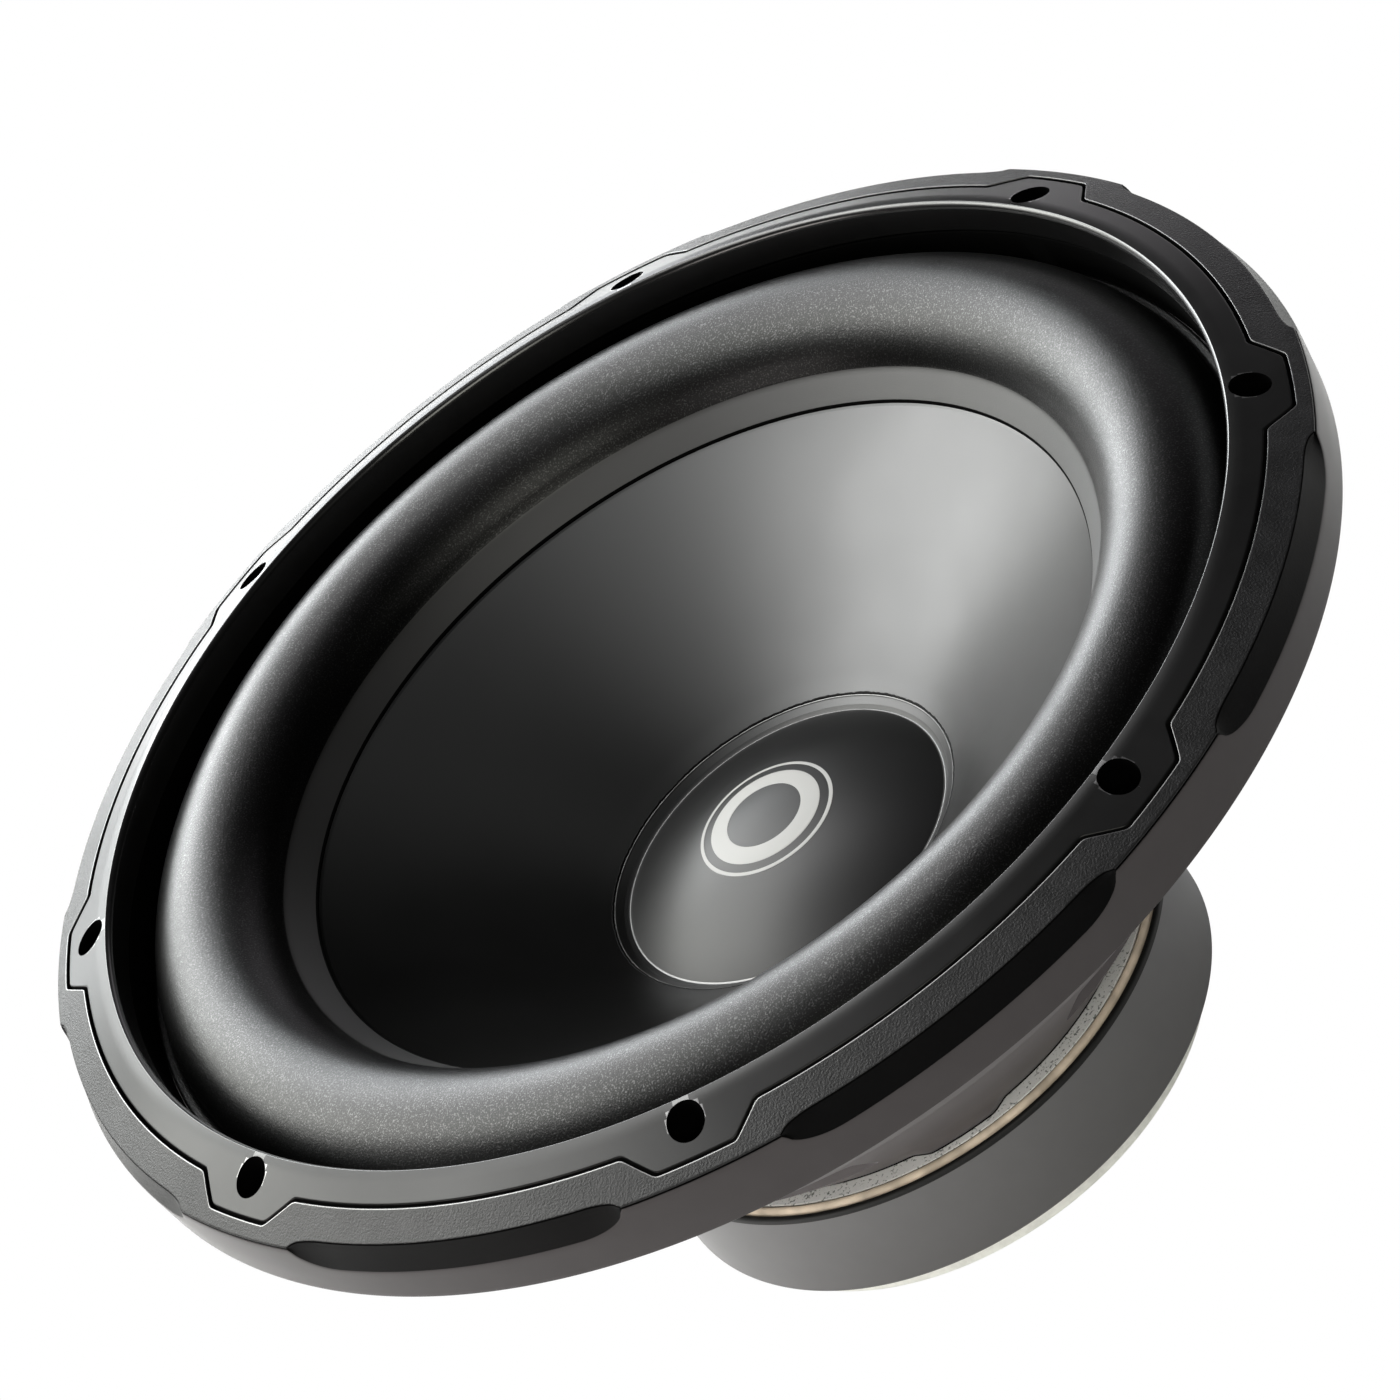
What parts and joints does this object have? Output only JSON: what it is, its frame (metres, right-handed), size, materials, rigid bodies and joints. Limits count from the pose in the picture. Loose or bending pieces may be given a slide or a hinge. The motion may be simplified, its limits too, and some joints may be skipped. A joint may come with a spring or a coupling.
{
  "type": "car subwoofer driver",
  "caption": "Round cone loudspeaker driver with half-roll surround, bolt-ring trim, open basket, booted ferrite motor and push terminals; the cone assembly travels along its axis.",
  "frame": {"origin": "centre of the rear face of the back plate, on which the driver stands; the mounting plane, the back face of the basket's flange, is at z = 0.12075", "axes": "+Z along the speaker's axis, out of its front; a fixing screw lies on +X and on +Y"},
  "size_m": [0.3244, 0.3244, 0.1435],
  "materials": {
    "basket_paint": "smooth satin dark warm-grey powder coat",
    "trim_plastic": "coarse sparkle grain on the front, smooth satin skirt, gloss black corner pockets",
    "gasket_plastic": "smooth satin dark grey",
    "surround_rubber": "satin black rubber with a fine speckle",
    "cone_poly": "dark satin polypropylene with a fine leathery texture",
    "cap_poly": null,
    "brass": "plain",
    "former_film": "amber-brown film",
    "copper": "lacquered copper wire",
    "adhesive": "tan glossy set adhesive with small bumps",
    "spider_cloth": "resin-dipped woven cloth",
    "black_plastic": "fine satin",
    "zinc_plate": "speckled grey-green zinc plating",
    "rivet_steel": "satin zinc",
    "ferrite": "matt dark grey ferrite",
    "bright_zinc": "bright clear zinc",
    "boot_rubber": "satin grey-black rubber",
    "screen_steel": "dark perforated sheet",
    "contact_brass": "tinned",
    "button_red": "semi-gloss",
    "button_black": "semi-gloss",
    "spring_steel": "bright wire",
    "screw_steel": "zinc",
    "braid_copper": "braided tinsel wire"
  },
  "bodies": {
    "frame": {"basket": "basket_paint", "trim_ring": "trim_plastic", "gasket_ring": "gasket_plastic", "spider_landing_ring": "black_plastic", "top_plate": "zinc_plate", "basket_rivet_1": "rivet_steel", "basket_rivet_2": "rivet_steel", "basket_rivet_3": "rivet_steel", "basket_rivet_4": "rivet_steel", "basket_rivet_5": "rivet_steel", "basket_rivet_6": "rivet_steel", "ferrite_magnet": "ferrite", "yoke": "bright_zinc", "magnet_boot": "boot_rubber", "adhesive_bead": "adhesive", "vent_screen": "screen_steel", "terminal_block": "black_plastic", "terminal_contact_positive": "contact_brass", "terminal_contact_negative": "contact_brass", "terminal_spring_positive": "spring_steel", "terminal_spring_negative": "spring_steel", "terminal_screw_1": "screw_steel", "terminal_screw_2": "screw_steel"},
    "cone_assembly": {"cone": "cone_poly", "surround": "surround_rubber", "dust_cap": "cap_poly", "lead_eyelet_positive": "brass", "lead_eyelet_negative": "brass", "voice_coil_former": "former_film", "voice_coil_winding": "copper", "neck_adhesive": "adhesive", "spider": "spider_cloth", "lead_positive": "braid_copper", "lead_negative": "braid_copper"},
    "button_positive": {"terminal_button_positive": "button_red"},
    "button_negative": {"terminal_button_negative": "button_black"}
  },
  "joints": [
    {"name": "cone_travel", "type": "slide", "parent": "frame", "child": "cone_assembly", "axis": [0, 0, 1], "range_m": [-0.009, 0.009], "stiffness_N_per_m": 3000, "deforming": ["surround", "spider", "lead_positive", "lead_negative"]},
    {"name": "button_positive_travel", "type": "slide", "parent": "frame", "child": "button_positive", "axis": [-0.2712, -0.5815, 0.767], "range_m": [0, 0.003], "stiffness_N_per_m": 400, "deforming": ["terminal_spring_positive"]},
    {"name": "button_negative_travel", "type": "slide", "parent": "frame", "child": "button_negative", "axis": [-0.2712, -0.5815, 0.767], "range_m": [0, 0.003], "stiffness_N_per_m": 400, "deforming": ["terminal_spring_negative"]}
  ]
}
